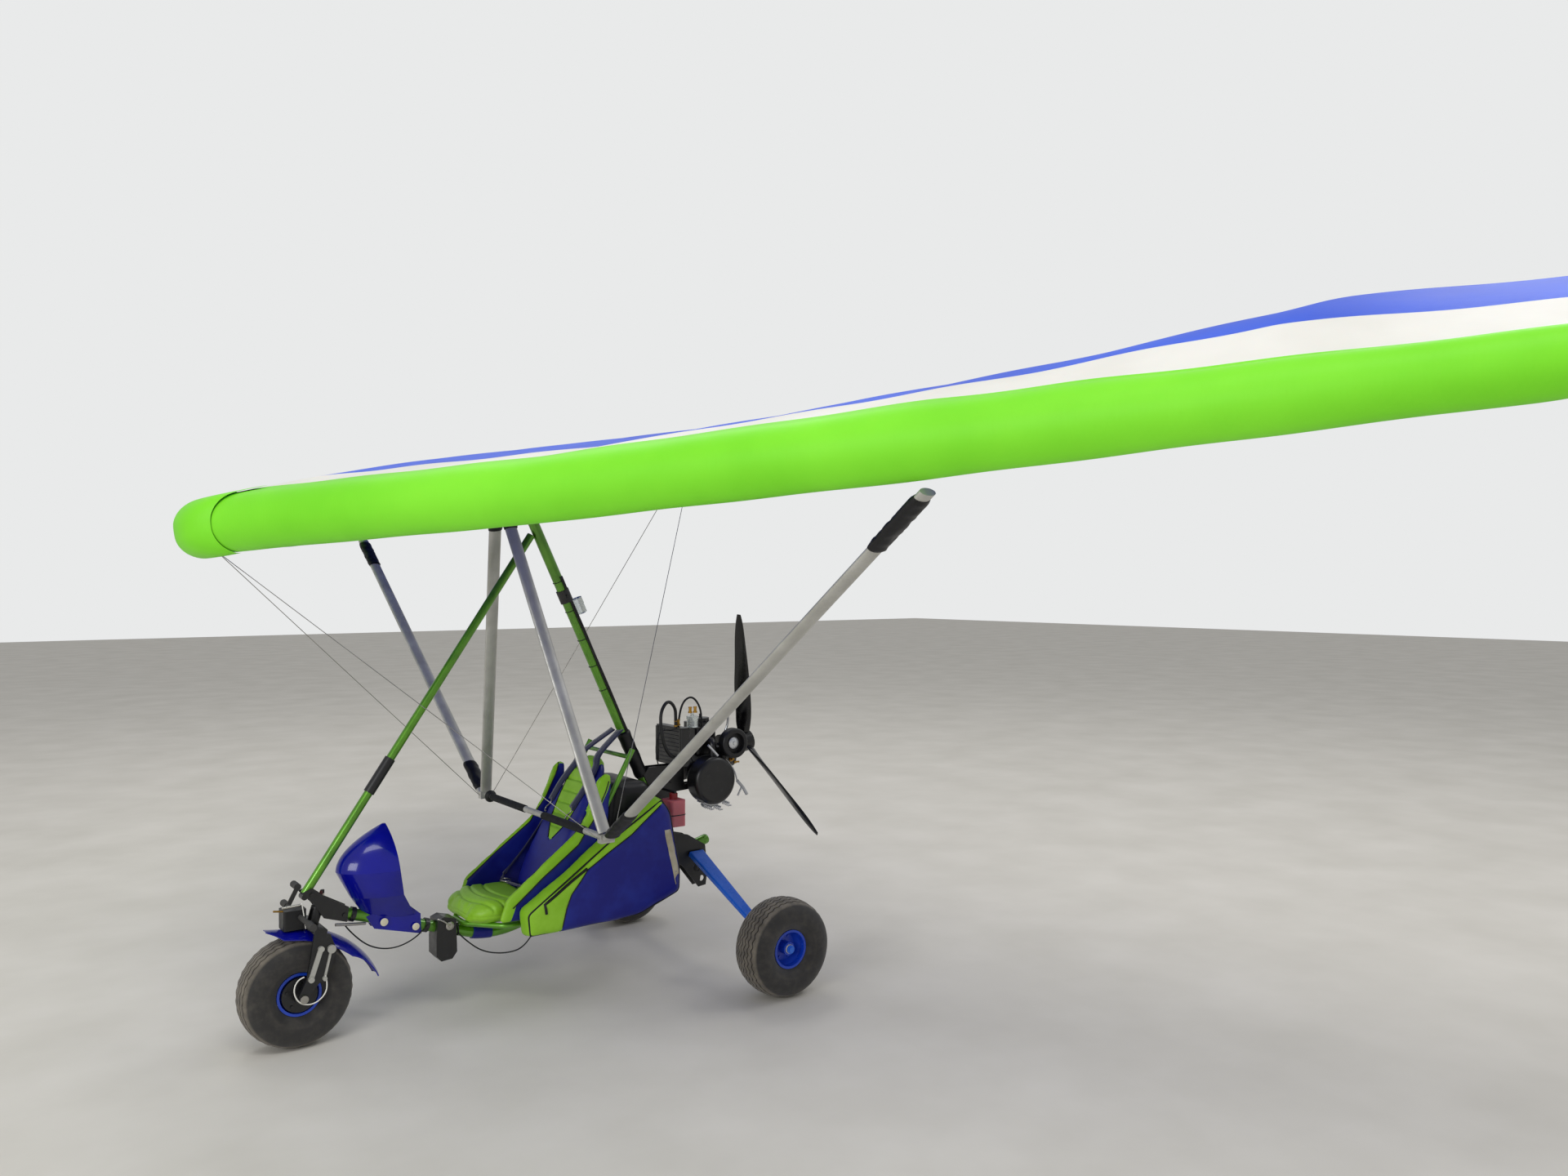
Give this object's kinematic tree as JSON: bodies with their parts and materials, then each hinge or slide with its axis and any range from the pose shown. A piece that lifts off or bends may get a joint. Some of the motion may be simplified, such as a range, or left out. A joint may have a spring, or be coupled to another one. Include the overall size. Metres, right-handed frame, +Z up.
{
  "type": "microlight trike",
  "caption": "Single-seat weight-shift microlight trike: pod on a tricycle gear with a pusher propeller, hung under a strutted swept wing.",
  "frame": {"origin": "on the ground under the middle of the machine's box", "axes": "+X forward, +Y to port along the wing span, +Z up"},
  "size_m": [3.3302, 9.9, 2.89],
  "materials": {
    "tube_green": "gloss",
    "black_metal": "satin",
    "foam": "matt",
    "alloy": "satin",
    "dark_red": "satin",
    "blue_metal": "gloss",
    "vinyl_green": "satin",
    "vinyl_blue": "satin",
    "shell_blue": "gloss",
    "black_plastic": "matt",
    "brass": "satin",
    "clear": "translucent",
    "bottle": "translucent",
    "webbing": "matt",
    "cream": "matt",
    "steel": "satin",
    "tyre": "matt",
    "rim_blue": "gloss",
    "sail_green": "satin",
    "sail_white": "satin",
    "sail_blue": "satin"
  },
  "bodies": {
    "root": {"keel_tube": "tube_green", "mast": "tube_green", "mast_head": "black_metal", "front_strut": "tube_green", "strut_sleeve": "foam", "head_plates": "alloy", "steering_head": "dark_red", "rear_plates": "black_metal", "main_legs": "blue_metal", "seat_frame": "tube_green", "seat_cushion": "vinyl_green", "seat_back": "vinyl_green", "seat_sides": "vinyl_blue", "side_pods": "vinyl_blue", "fuel_tank": "vinyl_blue", "fairing": "shell_blue", "keel_box": "black_plastic", "engine_block": "black_metal", "gearbox": "black_metal", "radiator": "black_metal", "muffler": "black_metal", "air_filter": "foam", "carburettor": "brass", "fuel_bowl": "clear", "engine_mount": "black_metal", "coolant_bottle": "bottle", "frame_clamps": "alloy", "beacon": "clear", "harness": "webbing"},
    "fork": {"fork": "black_metal", "head_collar": "cream", "fork_links": "alloy", "front_axle": "steel", "brake_plate": "black_metal", "control_box": "black_plastic", "foot_pegs": "black_plastic", "fender": "shell_blue"},
    "nose_wheel": {"nose_tyre": "tyre", "nose_rim": "rim_blue"},
    "main_wheel_port": {"main_tyre_port": "tyre", "main_rim_port": "rim_blue"},
    "main_wheel_starboard": {"main_tyre_starboard": "tyre", "main_rim_starboard": "rim_blue"},
    "propeller": {"propeller": "black_plastic"},
    "hang": {"hang_block": "alloy"},
    "wing": {"nose_cone": "sail_green", "leading_edge_pocket": "sail_green", "white_band": "sail_white", "sail_panel": "sail_blue", "wing_keel": "alloy", "corner_blocks": "alloy", "downtubes": "alloy", "base_bar": "alloy", "bar_grips": "foam", "wing_struts": "alloy", "strut_boots": "webbing", "flying_wires": "steel"}
  },
  "joints": [
    {"name": "nose_wheel_steer", "type": "hinge", "parent": "root", "child": "fork", "pos_m": [1.117, 0, 0.607], "axis": [-0.2924, 0, 0.9563], "range_deg": [-30, 30]},
    {"name": "nose_wheel_spin", "type": "hinge", "parent": "fork", "child": "nose_wheel", "pos_m": [1.22, 0, 0.2286], "axis": [0, 1, 0], "continuous": true},
    {"name": "main_wheel_port_spin", "type": "hinge", "parent": "root", "child": "main_wheel_port", "pos_m": [-0.78, 0.7525, 0.2286], "axis": [0, 1, 0], "continuous": true},
    {"name": "main_wheel_starboard_spin", "type": "hinge", "parent": "root", "child": "main_wheel_starboard", "pos_m": [-0.78, -0.7525, 0.2286], "axis": [0, 1, 0], "continuous": true},
    {"name": "propeller_spin", "type": "hinge", "parent": "root", "child": "propeller", "pos_m": [-1.091, 0, 1.091], "axis": [0.9903, 0, -0.1392], "continuous": true},
    {"name": "wing_pitch", "type": "hinge", "parent": "root", "child": "hang", "pos_m": [0.195, 0, 2.36], "axis": [0, -1, 0], "range_deg": [0, 28]},
    {"name": "wing_roll", "type": "hinge", "parent": "hang", "child": "wing", "pos_m": [0.20783, 0, 2.42777], "axis": [0.9825, 0, -0.186], "range_deg": [-9, 9]}
  ]
}
